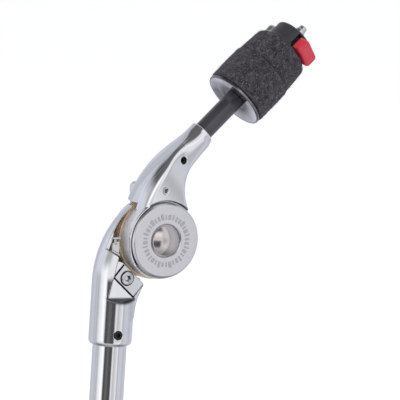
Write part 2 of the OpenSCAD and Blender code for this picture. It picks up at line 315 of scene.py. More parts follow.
def chrome(name, low, high, rough=(0.035, 0.085), wave=0.0, wave_scale=60, pits=0.0):
    """Polished chrome plate: faint haze and wiping marks, and on castings a slight unevenness under the plate."""
    a = Mat(name).set(IOR=2.5)
    haze = a.noise(85, 4, 0.55)
    # painted shade: the recess attribute mixes the plate towards near-black in gaps and hollows, where shade falls
    rec = a.n.new("ShaderNodeAttribute")
    rec.attribute_name = "recess"
    painted_shade = a.math("MULTIPLY", rec.outputs["Fac"], a.span(a.noise(400, 3, 0.6), 0.8, 1.0), True)
    a.to("Base Color", a.mix(painted_shade, a.mix(haze, low, high), (0.035, 0.033, 0.034)))
    wipe = a.noise(30, 5, 0.65, a.mapped((1, 1, 9), (0.2, 0.35, 0.1)))
    fine = a.noise(900, 2, 0.5, a.mapped((1, 1, 0.08), (0.1, 0.2, 0.0)))
    r = a.math("ADD", a.math("MULTIPLY", wipe, 0.7), a.math("MULTIPLY", fine, 0.3))
    turned = a.n.new("ShaderNodeAttribute")
    turned.attribute_name = "turned"
    a.to("Roughness", a.math("ADD", a.span(a.ramp(r, [(0.3, 0.0), (0.75, 1.0)]), *rough), a.math("MULTIPLY", turned.outputs["Fac"], 0.45)))
    a.to("Metallic", a.math("SUBTRACT", 1.0, a.math("MULTIPLY", turned.outputs["Fac"], 0.55)))
    under = None
    if wave:
        under = a.bump(a.noise(wave_scale, 1, 0.4), wave * MM, 1.0)
    if pits:
        under = a.bump(a.ramp(a.noise(1500, 2, 0.5), [(0.62, 1.0), (0.72, 0.0)]), pits * MM, 0.5, under)
    if under is not None:
        a.to("Normal", under)
    return a.m

# ------------------------------------------------------------------ solids from distance fields, for the castings
import openvdb


def smin(a, b, k):
    h = np.clip(0.5 + 0.5 * (b - a) / k, 0, 1)
    return b * (1 - h) + a * h - k * h * (1 - h)


def smax(a, b, k):
    return -smin(-a, -b, k)


def poly2(px, pz, pts):
    """signed distance to a closed polygon, negative inside"""
    pts = np.asarray(pts, float)
    d = np.full(px.shape, 1e9)
    inside = np.zeros(px.shape, bool)
    n = len(pts)
    for i in range(n):
        a, b = pts[i], pts[(i + 1) % n]
        ex, ez = b[0] - a[0], b[1] - a[1]
        wx, wz = px - a[0], pz - a[1]
        t = np.clip((wx * ex + wz * ez) / (ex * ex + ez * ez), 0, 1)
        d = np.minimum(d, (wx - ex * t) ** 2 + (wz - ez * t) ** 2)
        c = (a[1] <= pz) != (b[1] <= pz)
        if abs(ez) > 1e-12:
            inside ^= c & (px < a[0] + (pz - a[1]) * ex / ez)
    return np.where(inside, -1.0, 1.0) * np.sqrt(d)


def spline(pts, per=8):
    """smooth open curve through points (Catmull-Rom)"""
    p = np.asarray(pts, float)
    p = np.vstack([2 * p[0] - p[1], p, 2 * p[-1] - p[-2]])
    out = []
    for i in range(1, len(p) - 2):
        for t in np.linspace(0, 1, per, endpoint=False):
            a, b, c, d = p[i - 1], p[i], p[i + 1], p[i + 2]
            out.append(0.5 * (2 * b + (c - a) * t + (2 * a - 5 * b + 4 * c - d) * t * t + (3 * b - a - 3 * c + d) * t ** 3))
    out.append(p[-2])
    return np.array(out)


def ydisc(x, y, z, r, y0, y1, cx=0.0, cz=0.0):
    d = np.sqrt((x - cx) ** 2 + (z - cz) ** 2) - r
    return np.maximum(d, np.maximum(y0 - y, y - y1))


def solid_from(field, low, high, h, steps=6):
    """Mesh of field(x, y, z) <= 0, its vertices pulled onto the surface."""
    ax = [np.arange(low[i], high[i] + h, h) for i in range(3)]
    gx, gy, gz = np.meshgrid(*ax, indexing="ij")
    f = field(gx, gy, gz).astype(np.float32)
    grid = openvdb.FloatGrid(background=3.0)
    grid.copyFromArray(np.clip(f, -3, 3))
    pts, quads = grid.convertToQuads(0.0)
    p = pts.astype(float) * h + np.array(low)
    e = 0.02
    for _ in range(steps):
        v = field(p[:, 0], p[:, 1], p[:, 2])
        g = np.stack([field(p[:, 0] + e * (i == 0), p[:, 1] + e * (i == 1), p[:, 2] + e * (i == 2)) - v for i in range(3)], 1) / e
        g2 = np.maximum((g ** 2).sum(1), 0.25)
        step = np.clip(v / g2, -0.35 * h, 0.35 * h)
        p -= g * step[:, None]
    return p, quads


def relax(p, quads, times, field=None):
    """even out the quads along the surface"""
    n = len(p)
    e = np.concatenate([quads[:, [0, 1]], quads[:, [1, 2]], quads[:, [2, 3]], quads[:, [3, 0]]])
    for _ in range(times):
        s = np.zeros_like(p)
        c = np.zeros(n)
        for a, b in ((0, 1), (1, 0)):
            np.add.at(s, e[:, a], p[e[:, b]])
            np.add.at(c, e[:, a], 1)
        q = s / c[:, None]
        p = p * 0.4 + q * 0.6
        if field is not None:
            v = field(p[:, 0], p[:, 1], p[:, 2])
            d = 0.02
            g = np.stack([field(p[:, 0] + d * (i == 0), p[:, 1] + d * (i == 1), p[:, 2] + d * (i == 2)) - v for i in range(3)], 1) / d
            g2 = np.maximum((g ** 2).sum(1), 0.25)
            p -= g * np.clip(v / g2, -0.3, 0.3)[:, None]
    return p


def mesh_object(name, verts, faces, material, smooth=True):
    me = bpy.data.meshes.new(name)
    me.from_pydata([tuple(v) for v in verts], [], [tuple(int(i) for i in f) for f in faces])
    me.validate()
    me.update()
    if smooth:
        me.shade_smooth()
    me.materials.append(material)
    o = bpy.data.objects.new(name, me)
    scene.collection.objects.link(o)
    return o


def arm_to_row(p):
    x, y, a = p[:, 0], p[:, 1], p[:, 2]
    return np.stack([PIVOT[0] + x * math.cos(TILT) + a * math.sin(TILT), PIVOT[1] + y, PIVOT[2] - x * math.sin(TILT) + a * math.cos(TILT)], 1)


# ------------------------------------------------------------------ the base casting
BC = (20.2, -24.3)
BR, CR = 44.7, 12.1
KEY = math.radians(229.5)
kr = (math.cos(KEY), math.sin(KEY))          # outward from the pivot to the keeper block
kt = (kr[1], -kr[0])


def key_xy(x, z):
    """tangential, radial"""
    return x * kt[0] + z * kt[1], x * kr[0] + z * kr[1]


WEB = [(-24.5, -47), (-15.4, -43.5), (-14.2, -37), (-12.4, -31.5), (-9.6, -25.2), (-8.2, -20.6), (-5, -19.5), (-12, -10), (-22, -12)]
CHEEK = [(-32.5, -33), (-27.6, -8.5), (-20, 0), (10, 0), (10, -33)]


def base_field(x, y, z):
    rho = np.sqrt((x - BC[0]) ** 2 + (z - BC[1]) ** 2)
    ang = np.degrees(np.arctan2(z - BC[1], x - BC[0]))
    straight = np.sqrt((x + OFF) ** 2 + y ** 2) - CR
    bend = np.sqrt((rho - BR) ** 2 + y ** 2) - CR
    neck = np.where((z < BC[1]) | (x > BC[0]), straight, bend)
    neck = smax(neck, -59.5 - z, 3.2)
    t = math.radians(129.7)
    end = (x - BC[0]) * math.sin(t) - (z - BC[1]) * math.cos(t)
    neck = smax(neck, end, 3.0)
    ear = smax(np.sqrt(x ** 2 + z ** 2) - 21.5, np.maximum(6.5 - y, y - 11.8), 0.8)
    web = smax(poly2(x, z, WEB), np.maximum(-8.6 - y, y - 11.5), 1.4)
    d = smin(neck, smin(ear, web, 1.5), 2.2)
    # hollow for hub and plates, and round the clip
    r = np.sqrt(x ** 2 + z ** 2)
    d = smax(d, -np.maximum(r - 24.2, y - 6.5), 0.7)
    # the guard's inner edge is bevelled, so the plates show
    bevel = (r - 24.2 - (4.2 - y) * 0.55 * np.clip((17 - z) / 13, 0, 1)) * 0.87
    d = smax(d, -np.maximum(np.maximum(bevel, y - 4.2), -1.5 - z), 0.5)
    inner = np.sqrt((rho - BR) ** 2 + y ** 2) - 9.9
    inner = np.maximum(inner, np.maximum(149 - ang, ang - 165))
    inner = np.maximum(inner, y - 6.6)
    d = smax(d, -inner, 0.7)
    s, q = key_xy(x, z)
    d = smax(d, -np.maximum(y + 4, q - 25.2), 0.7)
    cheek = np.maximum(poly2(x, z, CHEEK), y + 9)
    ledge = np.maximum(np.maximum(-(x + 34.3), z + 32.5), -((z + 33) * 0.884 - (y + 9) * 0.468))
    cheek = np.minimum(cheek, np.maximum(ledge, y + 9))
    d = smax(d, -cheek, 0.45)
    key = np.maximum(np.maximum(np.abs(s - 0.4) - 8.8, np.maximum(20 - q, q - 35.2)), y + 3.1)
    d = smax(d, -key, 0.35)
    # bores
    d = smax(d, -np.maximum(np.sqrt((x + OFF) ** 2 + y ** 2) - 9.56, z + 35.5), 0.4)
    d = smax(d, -np.maximum(r - 6.1, -y), 0.3)
    d = smax(d, -np.maximum(np.sqrt((x + OFF + 1.5) ** 2 + (z + 52.8) ** 2) - 2.5, y), 0.35)
    return d


# ------------------------------------------------------------------ the arm casting
left = spline([(-21.6, -3), (-23.8, 1), (-27.0, 6.5), (-30.6, 14), (-32.5, 24), (-33.0, 34), (-32.7, 44), (-31.75, 54)])
arc = np.array([(3 + 20.3 * math.cos(math.radians(t)), 42.2 + 20.3 * math.sin(math.radians(t))) for t in range(180, 262, 6)])
right_side = spline([(-17.35, 61), (-17.4, 55), (-17.5, 49)], 4)
ARM_OUT = np.vstack([left, [(-31.75, 61)], right_side, arc, [(0, 10)]])
W_A = np.linspace(-40, 70, 441)
W_W = 7.2 + 4.8 * (1 - 1 / (1 + np.exp(-(W_A - 33.0) / 5.6)))


def arm_field(x, y, a):
    prof = poly2(x, a, ARM_OUT)
    w = np.interp(a, W_A, W_W)
    spine = np.sqrt((np.sqrt((x - 36.5) ** 2 + (a - 33.3) ** 2) - 48.5) ** 2 + y ** 2) - 21.0
    spine = np.where(np.sqrt((x - 36.5) ** 2 + (a - 33.3) ** 2) < 48.5, np.abs(y) - 21.0, spine)
    k = np.interp(a, [15, 45, 58], [1.6, 3.5, 6.0])
    d = smax(smax(prof, spine, 2.0), np.abs(y) - w, k)
    # the rod socket runs down into the casting
    sock = np.sqrt((x + OFF) ** 2 + y ** 2) - np.interp(a, [22, 32, 42, 60.3], [3.0, 6.2, 7.2, 7.2])
    sock = np.maximum(sock, 22 - a)
    d = smin(smax(d, a - 58, 3.0), sock, 1.8)
    d = smax(d, a - 60.3, 0.9)
    r = np.sqrt(x ** 2 + a ** 2)
    d = smax(d, -np.maximum(r - 24.75, -(y + 4.1)), 0.5)
    hub = smax(r - 22.0, np.maximum(-8.9 - y, y + 0.5), 0.5)
    d = smin(d, hub, 0.6)
    d = smax(d, -np.maximum(r - 22.2, y + 8.7), 0.4)
    # lip beside the cap, running out at its lower end
    turn = np.degrees(np.arctan2(-a, -x))
    lip = smax(np.abs(r - 21.85) - 0.55, np.maximum(-12.0 - y + np.clip(turn - 50, 0, 60) * 0.05, y + 8.0), 0.45)
    lip = smax(lip, np.maximum(turn - 88, -14 - turn) * 0.38, 0.6)
    d = smin(d, lip, 0.5)
    hx = np.maximum(np.maximum(np.abs(a) - 7.8, np.abs(a * 0.5 + x * 0.8660) - 7.8), np.abs(a * 0.5 - x * 0.8660) - 7.8)
    d = np.minimum(d, smax(hx, np.maximum(-1.5 - y, y - 6.3), 0.4))
    d = smax(d, -np.maximum(np.sqrt((x + OFF) ** 2 + y ** 2) - 3.1, 30 - a), 0.35)
    d = smax(d, -(r - 4.1), 0.3)
    d = smax(d, -np.maximum(np.maximum(np.abs(x), np.abs(a)) - 4.6, y + 6.6), 0.2)
    d = smax(d, -np.maximum(np.sqrt((x + OFF) ** 2 + (a - 38.5) ** 2) - 2.0, y), 0.5)
    d = smax(d, -np.maximum(np.sqrt((x + 21) ** 2 + (a - 18.2) ** 2) - 1.76, y + 5.2), 0.4)
    return d

# ------------------------------------------------------------------ pieces: helpers
NUT_TURN = math.radians(23)


def rod_row(p):
    return arm_to_row(p - np.array([OFF, 0, 0]))


def nut_row(p):
    c, s = math.cos(NUT_TURN), math.sin(NUT_TURN)
    return rod_row(np.stack([p[:, 0] * c - p[:, 1] * s, p[:, 0] * s + p[:, 1] * c, p[:, 2]], 1))


def base_row(p):
    return p + PIVOT


def tube_row(p):
    return p


def key_row(p):
    """x along the block, y, z outward from the pivot"""
    return np.stack([p[:, 0] * kt[0] + p[:, 2] * kr[0], p[:, 1], p[:, 0] * kt[1] + p[:, 2] * kr[1]], 1) + PIVOT


def recess_of(field, p, n, extra=None):
    """0 in the open, 1 deep in a gap: how soon the way out along the normal meets the field again; used as painted
    shade
    """
    occ = np.zeros(len(p))
    for d, w in ((0.45, 0.34), (0.9, 0.28), (1.7, 0.22), (3.0, 0.16)):
        q = p + n * d
        f = field(q[:, 0], q[:, 1], q[:, 2])
        if extra is not None:
            f = np.minimum(f, extra(q[:, 0], q[:, 1], q[:, 2]))
        occ += w * np.clip((d - f) / d, 0, 1)
    return np.clip((occ - 0.22) * 1.9, 0, 1)


def sdf_piece(name, field, low, high, h, to_row, material, body, node, relaxed=3, extra=None, line=None, turned=None):
    """A piece meshed from a distance field, with the field's own gradient as its normals."""
    p, q = solid_from(field, low, high, h)
    if relaxed:
        p = relax(p, q, relaxed, field)
    e = 0.04
    g = np.stack([field(p[:, 0] + e * (i == 0), p[:, 1] + e * (i == 1), p[:, 2] + e * (i == 2))
                  - field(p[:, 0] - e * (i == 0), p[:, 1] - e * (i == 1), p[:, 2] - e * (i == 2)) for i in range(3)], 1)
    w = to_row(p)
    gn = to_row(p + g) - w
    gn /= np.maximum(np.linalg.norm(gn, axis=1), 1e-9)[:, None]
    o = mesh_object(name, w * MM, q, material)
    ln = g / np.maximum(np.linalg.norm(g, axis=1), 1e-9)[:, None]
    if len(o.data.vertices) == len(p):
        # the recess attribute carries painted shade: darker where the way out along the normal is hemmed in, plus any
        # painted dark line given as line
        at = o.data.attributes.new("recess", "FLOAT", "POINT")
        painted_shade_amount = recess_of(field, p, ln, extra)
        if line is not None:
            painted_shade_amount = np.maximum(painted_shade_amount, line(p[:, 0], p[:, 1], p[:, 2]))
        at.data.foreach_set("value", painted_shade_amount.astype(np.float32))
        if turned is not None:
            at = o.data.attributes.new("turned", "FLOAT", "POINT")
            at.data.foreach_set("value", turned(p[:, 0], p[:, 1], p[:, 2]).astype(np.float32))
    # faces outward
    me = o.data
    f0 = me.polygons[0]
    tot = 0.0
    for k in range(0, len(me.polygons), max(1, len(me.polygons) // 50)):
        f = me.polygons[k]
        tot += f.normal.dot(Vector(gn[f.vertices[0]]))
    if tot < 0:
        me.flip_normals()
    if len(me.vertices) == len(gn):
        me.normals_split_custom_set_from_vertices([tuple(v) for v in gn])
    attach(o, body)
    if node:
        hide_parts(*([node] if isinstance(node, str) else node))
    return o


def fillet(pts, n=4):
    """round the corners of a closed profile of (u, v, radius)"""
    out = []
    m = len(pts)
    for i in range(m):
        p = np.array(pts[i][:2], float)
        r = pts[i][2] if len(pts[i]) > 2 else 0.0
        if r <= 0:
            out.append(tuple(p))
            continue
        a = np.array(pts[i - 1][:2], float) - p
        b = np.array(pts[(i + 1) % m][:2], float) - p
        la, lb = np.linalg.norm(a), np.linalg.norm(b)
        a, b = a / la, b / lb
        phi = math.acos(max(-1, min(1, float(a @ b))))
        if phi > math.pi - 0.02:
            out.append(tuple(p))
            continue
        t = min(r / math.tan(phi / 2), 0.46 * min(la, lb))
        rr = t * math.tan(phi / 2)
        c = p + (a + b) / np.linalg.norm(a + b) * rr / math.sin(phi / 2)
        s, e = p + a * t - c, p + b * t - c
        a0, a1 = math.atan2(s[1], s[0]), math.atan2(e[1], e[0])
        d = (a1 - a0 + math.pi) % (2 * math.pi) - math.pi
        for k in range(n + 1):
            ang = a0 + d * k / n
            out.append((c[0] + rr * math.cos(ang), c[1] + rr * math.sin(ang)))
    return out


def lathe_mesh(profile, segs, axis, shape=None, closed=True):
    """verts and faces of a closed (r, h) profile turned about the axis; shape(x, y, z, r, h, angle) may move points"""
    prof = np.array(profile)
    n = len(prof)
    th = np.linspace(0, 2 * math.pi, segs, endpoint=False)
    r = np.repeat(prof[None, :, 0], segs, 0)
    h = np.repeat(prof[None, :, 1], segs, 0)
    t = np.repeat(th[:, None], n, 1)
    if shape is not None:
        r, h = shape(r, h, t)
    if axis == "y":
        p = np.stack([r * np.cos(t), h, r * np.sin(t)], -1)
    else:
        p = np.stack([r * np.cos(t), r * np.sin(t), h], -1)
    p = p.reshape(-1, 3)
    faces = []
    pole = {}
    for j in range(n):
        if prof[j, 0] < 1e-6:
            pole[j] = j
    last = n if closed else n - 1
    for i in range(segs):
        i2 = (i + 1) % segs
        for j in range(last):
            j2 = (j + 1) % n
            a, b, c, d = i * n + j, i * n + j2, i2 * n + j2, i2 * n + j
            if j in pole and j2 in pole:
                continue
            if j in pole:
                faces.append((j, b, c))
            elif j2 in pole:
                faces.append((a, j2, d))
            else:
                faces.append((a, b, c, d))
    return p, faces


def tidy(o):
    """drop loose points, faces outward"""
    b = bmesh.new()
    b.from_mesh(o.data)
    loose = [v for v in b.verts if not v.link_faces]
    bmesh.ops.delete(b, geom=loose, context="VERTS")
    bmesh.ops.recalc_face_normals(b, faces=b.faces)
    b.to_mesh(o.data)
    b.free()
    o.data.shade_smooth()


def lathe_piece(name, profile, axis, to_row, material, body, node, segs=128, n=4, shape=None, extra=None, extra_mat=None):
    p, f = lathe_mesh(fillet(profile, n), segs, axis, shape)
    if extra is not None:
        ep, ef = extra
        k = len(p)
        p = np.vstack([p, ep])
        f = f + [tuple(i + k for i in g) for g in ef]
    o = mesh_object(name, to_row(p) * MM, f, material)
    if extra_mat is not None:
        o.data.materials.append(extra_mat)
        for i in range(len(f) - len(ef), len(f)):
            o.data.polygons[i].material_index = 1
    tidy(o)
    wn_ = o.modifiers.new("normals", "WEIGHTED_NORMAL")
    wn_.weight = 50
    wn_.keep_sharp = True
    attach(o, body)
    if node:
        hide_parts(node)
    return o


def rbox(x, y, z, lo, hi, r):
    c = [(a + b) / 2 for a, b in zip(lo, hi)]
    hs = [(b - a) / 2 - r for a, b in zip(lo, hi)]
    q = [np.abs(v - c[i]) - hs[i] for i, v in enumerate((x, y, z))]
    out = np.sqrt(sum(np.maximum(v, 0) ** 2 for v in q))
    return out + np.minimum(np.maximum(q[0], np.maximum(q[1], q[2])), 0) - r


def hexd(u, v, r):
    """distance to a hexagon with inner radius r"""
    a = np.abs(u)
    b = np.abs(u * 0.5 + v * 0.8660254)
    c = np.abs(u * 0.5 - v * 0.8660254)
    return np.maximum(a, np.maximum(b, c)) - r


# ------------------------------------------------------------------ materials of the pieces
chrome_tube = chrome("chrome_tube", (0.80, 0.81, 0.85), (0.90, 0.90, 0.93), (0.02, 0.06))
chrome_cast = chrome("chrome_cast", (0.78, 0.79, 0.83), (0.90, 0.90, 0.93), (0.03, 0.08), 0.014, 75, 0.01)
chrome_small = chrome("chrome_small", (0.60, 0.61, 0.65), (0.74, 0.74, 0.78), (0.05, 0.13), 0.004, 300, 0.008)
chrome_washer = chrome("chrome_washer", (0.66, 0.66, 0.71), (0.78, 0.78, 0.83), (0.03, 0.09), 0.0, 60, 0.006)
dark_chrome = chrome("dark_chrome", (0.58, 0.54, 0.535), (0.70, 0.66, 0.655), (0.15, 0.22), 0.0, 200, 0.0)


def satin_cap_material():
    a = Mat("satin_cap").set(Metallic=1.0)
    loc = a.mapped((1, 1, 1), (0, 0, 0), tuple(-PIVOT * MM))
    s = a.n.new("ShaderNodeSeparateXYZ")
    a.l.new(loc, s.inputs[0])
    r = a.math("SQRT", a.math("ADD", a.math("MULTIPLY", s.outputs[0], s.outputs[0]), a.math("MULTIPLY", s.outputs[2], s.outputs[2])), None)
    c = a.n.new("ShaderNodeCombineXYZ")
    a.l.new(r, c.inputs[0])
    a.l.new(a.math("MULTIPLY", s.outputs[0], 0.03), c.inputs[1])
    a.l.new(a.math("MULTIPLY", s.outputs[2], 0.03), c.inputs[2])
    fine = a.noise(5200, 3, 0.6, c.outputs[0])
    soft = a.noise(160, 3, 0.5)
    a.to("Base Color", a.mix(a.math("ADD", a.math("MULTIPLY", soft, 0.6), a.math("MULTIPLY", fine, 0.4)), (0.70, 0.70, 0.745), (0.86, 0.86, 0.90)))
    a.to("Roughness", a.span(a.math("ADD", a.math("MULTIPLY", fine, 0.6), a.math("MULTIPLY", soft, 0.4)), 0.22, 0.36))
    a.to("Normal", a.bump(fine, 0.012 * MM, 0.6))
    return a.m


def plastic(name, low, high, rough, grain=0.012, coat=0.0, streak=None):
    a = Mat(name).set(IOR=1.5, Coat_Weight=coat, Coat_Roughness=0.12)
    cloud = a.noise(120, 4, 0.55)
    a.to("Base Color", a.mix(cloud, low, high))
    vec = a.mapped(*streak) if streak else None
    scuff = a.noise(700 if streak else 260, 4, 0.6, vec)
    a.to("Roughness", a.span(a.ramp(scuff, [(0.3, 0.0), (0.72, 1.0)]), *rough))
    a.to("Normal", a.bump(a.noise(2600, 3, 0.6), grain * MM, 0.5))
    return a.m


satin_cap = satin_cap_material()
mark = Mat("mark_metal").set(Metallic=1.0)
mark.to("Base Color", mark.mix(mark.noise(700, 3), (0.50, 0.50, 0.53), (0.68, 0.68, 0.71)))
mark.to("Roughness", mark.span(mark.noise(1800, 2), 0.3, 0.5))
mark_metal = mark.m
black_plastic = plastic("black_plastic", (0.022, 0.022, 0.026), (0.042, 0.042, 0.048), (0.30, 0.46))
sleeve_plastic = plastic("sleeve_plastic", (0.030, 0.030, 0.037), (0.046, 0.045, 0.055), (0.18, 0.28), 0.004, 0.4, ((1, 1, 0.06), (0, TILT, 0)))
bush_plastic = plastic("bush_plastic", (0.62, 0.61, 0.57), (0.74, 0.73, 0.69), (0.38, 0.52))
red_plastic = plastic("red_plastic", (0.50, 0.022, 0.045), (0.62, 0.040, 0.065), (0.28, 0.42), 0.010, 0.12)
for n_ in red_plastic.node_tree.nodes:
    if n_.type == "BSDF_PRINCIPLED":
        n_.inputs["Subsurface Weight"].default_value = 0.08
        n_.inputs["Subsurface Scale"].default_value = 0.0015


def steel(name, low, high, rough, dirs, scale=1400, depth=0.006, metallic=1.0):
    a = Mat(name).set(Metallic=metallic)
    line = a.noise(scale, 3, 0.6, a.mapped(*dirs))
    cloud = a.noise(90, 4, 0.6)
    a.to("Base Color", a.mix(a.math("ADD", a.math("MULTIPLY", line, 0.5), a.math("MULTIPLY", cloud, 0.5)), low, high))
    a.to("Roughness", a.span(line, *rough))
    a.to("Normal", a.bump(line, depth * MM, 0.7))
    return a.m


spring_steel = steel("spring_steel", (0.66, 0.66, 0.68), (0.84, 0.84, 0.86), (0.16, 0.30), ((1, 0.1, 1), (0, 0, 0)))
slide_satin = steel("slide_satin", (0.48, 0.48, 0.50), (0.62, 0.62, 0.64), (0.26, 0.38), ((0.4, 1, 1), (0, 0, 0)), 500, 0.003)
rod_steel = steel("rod_steel", (0.62, 0.62, 0.62), (0.80, 0.80, 0.79), (0.12, 0.26), ((1, 1, 0.05), (0, TILT, 0)))
black_steel = steel("black_steel", (0.015, 0.015, 0.016), (0.05, 0.048, 0.046), (0.28, 0.5), ((1, 1, 1), (0, 0, 0)), 900, 0.008, 0.75)


def brass_material():
    a = Mat("brass").set(Metallic=0.4)
    stain = a.noise(170, 5, 0.65)
    rub = a.noise(900, 3, 0.6, a.mapped((1, 0.15, 1)))
    a.to("Base Color", a.mix(a.ramp(stain, [(0.35, 0.0), (0.7, 1.0)]), (0.86, 0.68, 0.48), (0.64, 0.46, 0.30)))
    a.to("Roughness", a.span(rub, 0.42, 0.58))
    a.to("Normal", a.bump(rub, 0.008 * MM, 0.6))
    return a.m


brass = brass_material()


def felt_material(name, low, high, fleck):
    a = Mat(name).set(Roughness=0.95, Sheen_Weight=0.14, Sheen_Roughness=0.5, IOR=1.3)
    a.bsdf.inputs["Sheen Tint"].default_value = (0.75, 0.73, 0.80, 1)
    heather = a.noise(1500, 5, 0.8, None, 0.4)
    body = a.mix(a.ramp(heather, [(0.34, 0.0), (0.66, 1.0)]), low, high)
    # clumps of lighter and darker wool
    clump = a.ramp(a.noise(1300, 2, 0.75, a.mapped((1, 1, 1), (0.7, 0.1, 0.4), (1, 2, 5)), 1.2), [(0.56, 0.0), (0.63, 1.0)])
    pit = a.ramp(a.noise(1200, 2, 0.7, a.mapped((1, 1, 1), (0.2, 0.9, 0.4), (4, 2, 1)), 0.8), [(0.40, 1.0), (0.49, 0.0)])
    body = a.mix(a.math("MULTIPLY", clump, 0.9), body, fleck)
    body = a.mix(a.math("MULTIPLY", pit, 0.8), body, (0.004, 0.004, 0.005))
    # light curled fibres: thin bands where a warped noise crosses its middle
    f1 = a.noise(1100, 2, 0.5, a.mapped((1, 1, 1), (0.3, 0.5, 0.2)), 2.2)
    f2 = a.noise(1400, 2, 0.5, a.mapped((1, 1, 1), (1.3, 0.2, 0.9), (3, 1, 2)), 2.6)
    b1 = a.ramp(f1, [(0.475, 0.0), (0.5, 1.0), (0.525, 0.0)])
    b2 = a.ramp(f2, [(0.48, 0.0), (0.5, 1.0), (0.52, 0.0)])
    gate = a.ramp(a.noise(300, 3, 0.6), [(0.42, 0.0), (0.62, 1.0)])
    lines = a.math("MULTIPLY", a.math("MAXIMUM", b1, b2), gate)
    a.to("Base Color", a.mix(lines, body, fleck))
    hairs = a.math("ADD", a.noise(1500, 5, 0.7, None, 1.0), a.math("MULTIPLY", lines, 0.8))
    hairs = a.math("SUBTRACT", a.math("ADD", hairs, a.math("MULTIPLY", clump, 0.5)), pit)
    a.to("Normal", a.bump(hairs, 0.25 * MM, 0.9))
    return a.m


felt_cloth = felt_material("felt_cloth", (0.010, 0.009, 0.012), (0.034, 0.030, 0.038), (0.28, 0.255, 0.285))
fibre_mat = Mat("felt_fibre").set(Roughness=0.85, Sheen_Weight=0.1)
fibre_mat.to("Base Color", fibre_mat.mix(fibre_mat.ramp(fibre_mat.noise(500, 2), [(0.4, 0.0), (0.62, 1.0)]), (0.016, 0.015, 0.018), (0.36, 0.34, 0.36)))
fibre_mat = fibre_mat.m

floor_mat = Mat("floor_paper").set(Roughness=0.7)
floor_mat.to("Base Color", floor_mat.mix(floor_mat.noise(3, 3), (0.86, 0.86, 0.86), (0.90, 0.90, 0.90)))
floor_mat.bsdf.inputs["Emission Color"].default_value = (1, 1, 1, 1)
floor_mat.bsdf.inputs["Emission Strength"].default_value = 0.50
floor.data.materials.append(floor_mat.m)

# ------------------------------------------------------------------ the two castings
STEP = 0.5


def near_base(x, y, z):
    """what sits in the base casting: the keeper block, and a slab over the ledge under the flat"""
    s, q = key_xy(x, z)
    block = rbox(s, y, q, (-7.9, -9.3, 25.3), (8.7, -3.35, 34.7), 0.4)
    # painted shade on the ledge under the flat: an unseen slab over it, felt only by the recess shading
    ledge = np.maximum(np.maximum(z + 32.6, y + 9.3), 0.15 - ((z + 33) * 0.884 - (y + 9) * 0.468))
    ledge = np.maximum(ledge, np.maximum(-33.5 - x, x + 15.5))
    return np.minimum(block, ledge)


def hub_side(x, y, z):
    r = np.sqrt(x ** 2 + z ** 2)
    return np.clip((22.7 - r) / 0.3, 0, 1) * np.clip((r - 21.2) / 0.3, 0, 1) * np.clip((y + 11.2) / 0.5, 0, 1) * np.clip((0.2 - y) / 0.4, 0, 1) * np.clip((3 - z) / 4, 0, 1)


def flat_outline(x, y, z):
    """a painted dark line of shade along the left edge of the base's flat"""
    near = np.exp(-(poly2(x, z, CHEEK) / 0.42) ** 2)
    return 0.8 * near * np.clip((-8.4 - y) / 0.4, 0, 1) * np.clip((-26.2 - x + (z + 33) * 0.2) / 0.8 + 1.0, 0, 1)


def near_arm(x, y, z):
    r = np.sqrt(x ** 2 + z ** 2)
    return np.maximum(r - 21.0, np.maximum(-13.0 - y, y + 8.75))


sdf_piece("base_casting", base_field, (-45, -14, -62), (24, 14, 26), STEP, base_row, chrome_cast, "boom", "tilter_base", 3, near_base, flat_outline)
sdf_piece("arm_casting", arm_field, (-36, -14, -25), (25, 14, 64), STEP, arm_to_row, chrome_cast, "arm", "tilter_arm", 3, near_arm, None, hub_side)

# ------------------------------------------------------------------ boom tube and its plug
lathe_piece("boom_tube_polished", [(9.525, 0, 0.25), (9.525, 200, 0.2), (9.2, 200, 0), (9.2, 224, 0.3), (8.275, 224, 0.3), (8.275, 0, 0.25)],
            "z", tube_row, chrome_tube, "boom", "boom_tube", 160)
lathe_piece("end_plug_moulded", [(9.3, -2, 0.7), (9.3, -0.02, 0.15), (8.25, -0.02, 0), (8.25, 15.6, 0.4), (6.4, 16, 0.4), (6.4, 2, 0.6), (0, 2), (0, -1.4), (5.2, -1.4, 0.3), (5.8, -2, 0.3)],
            "z", tube_row, black_plastic, "boom", "tube_end_plug", 96)

# ------------------------------------------------------------------ pivot cap with a ring of index marks, and the bolt


def pads():
    """rounded raised marks round the cap"""
    vs, fs = [], []
    widths = (1.5, 0.8, 1.9, 0.8, 1.2)
    for i in range(36):
        a0 = math.radians(i * 10)
        w = widths[i % 5] / 2
        r0, r1 = 11.9, (15.3 if i % 3 == 0 else 14.6)
        base = []
        for y, gap in ((-12.9, 0.0), (-13.12, 0.0), (-13.24, 0.16)):
            ring = []
            for cx, cz, t0 in ((w, r1, 0), (-w, r1, 90), (-w, r0, 180), (w, r0, 270)):
                ex = cx - math.copysign(0.3, cx)
                ez = cz - math.copysign(0.3, cz - (r0 + r1) / 2)
                for k in range(4):
                    t = math.radians(t0 + k * 30)
                    rr = 0.3 - gap
                    ring.append((ex + rr * math.cos(t), ez + rr * math.sin(t)))
            base.append((y, ring))
        k0 = len(vs)
        for y, ring in base:
            for x, z in ring:
                vs.append((x * math.cos(a0) + z * math.sin(a0), y, -x * math.sin(a0) + z * math.cos(a0)))
        m = 16
        for lv in range(2):
            for k in range(m):
                k2 = (k + 1) % m
                fs.append((k0 + lv * m + k, k0 + lv * m + k2, k0 + (lv + 1) * m + k2, k0 + (lv + 1) * m + k))
        fs.append(tuple(k0 + 2 * m + k for k in range(m)))
        fs.append(tuple(k0 + k for k in reversed(range(m))))
    return np.array(vs), fs


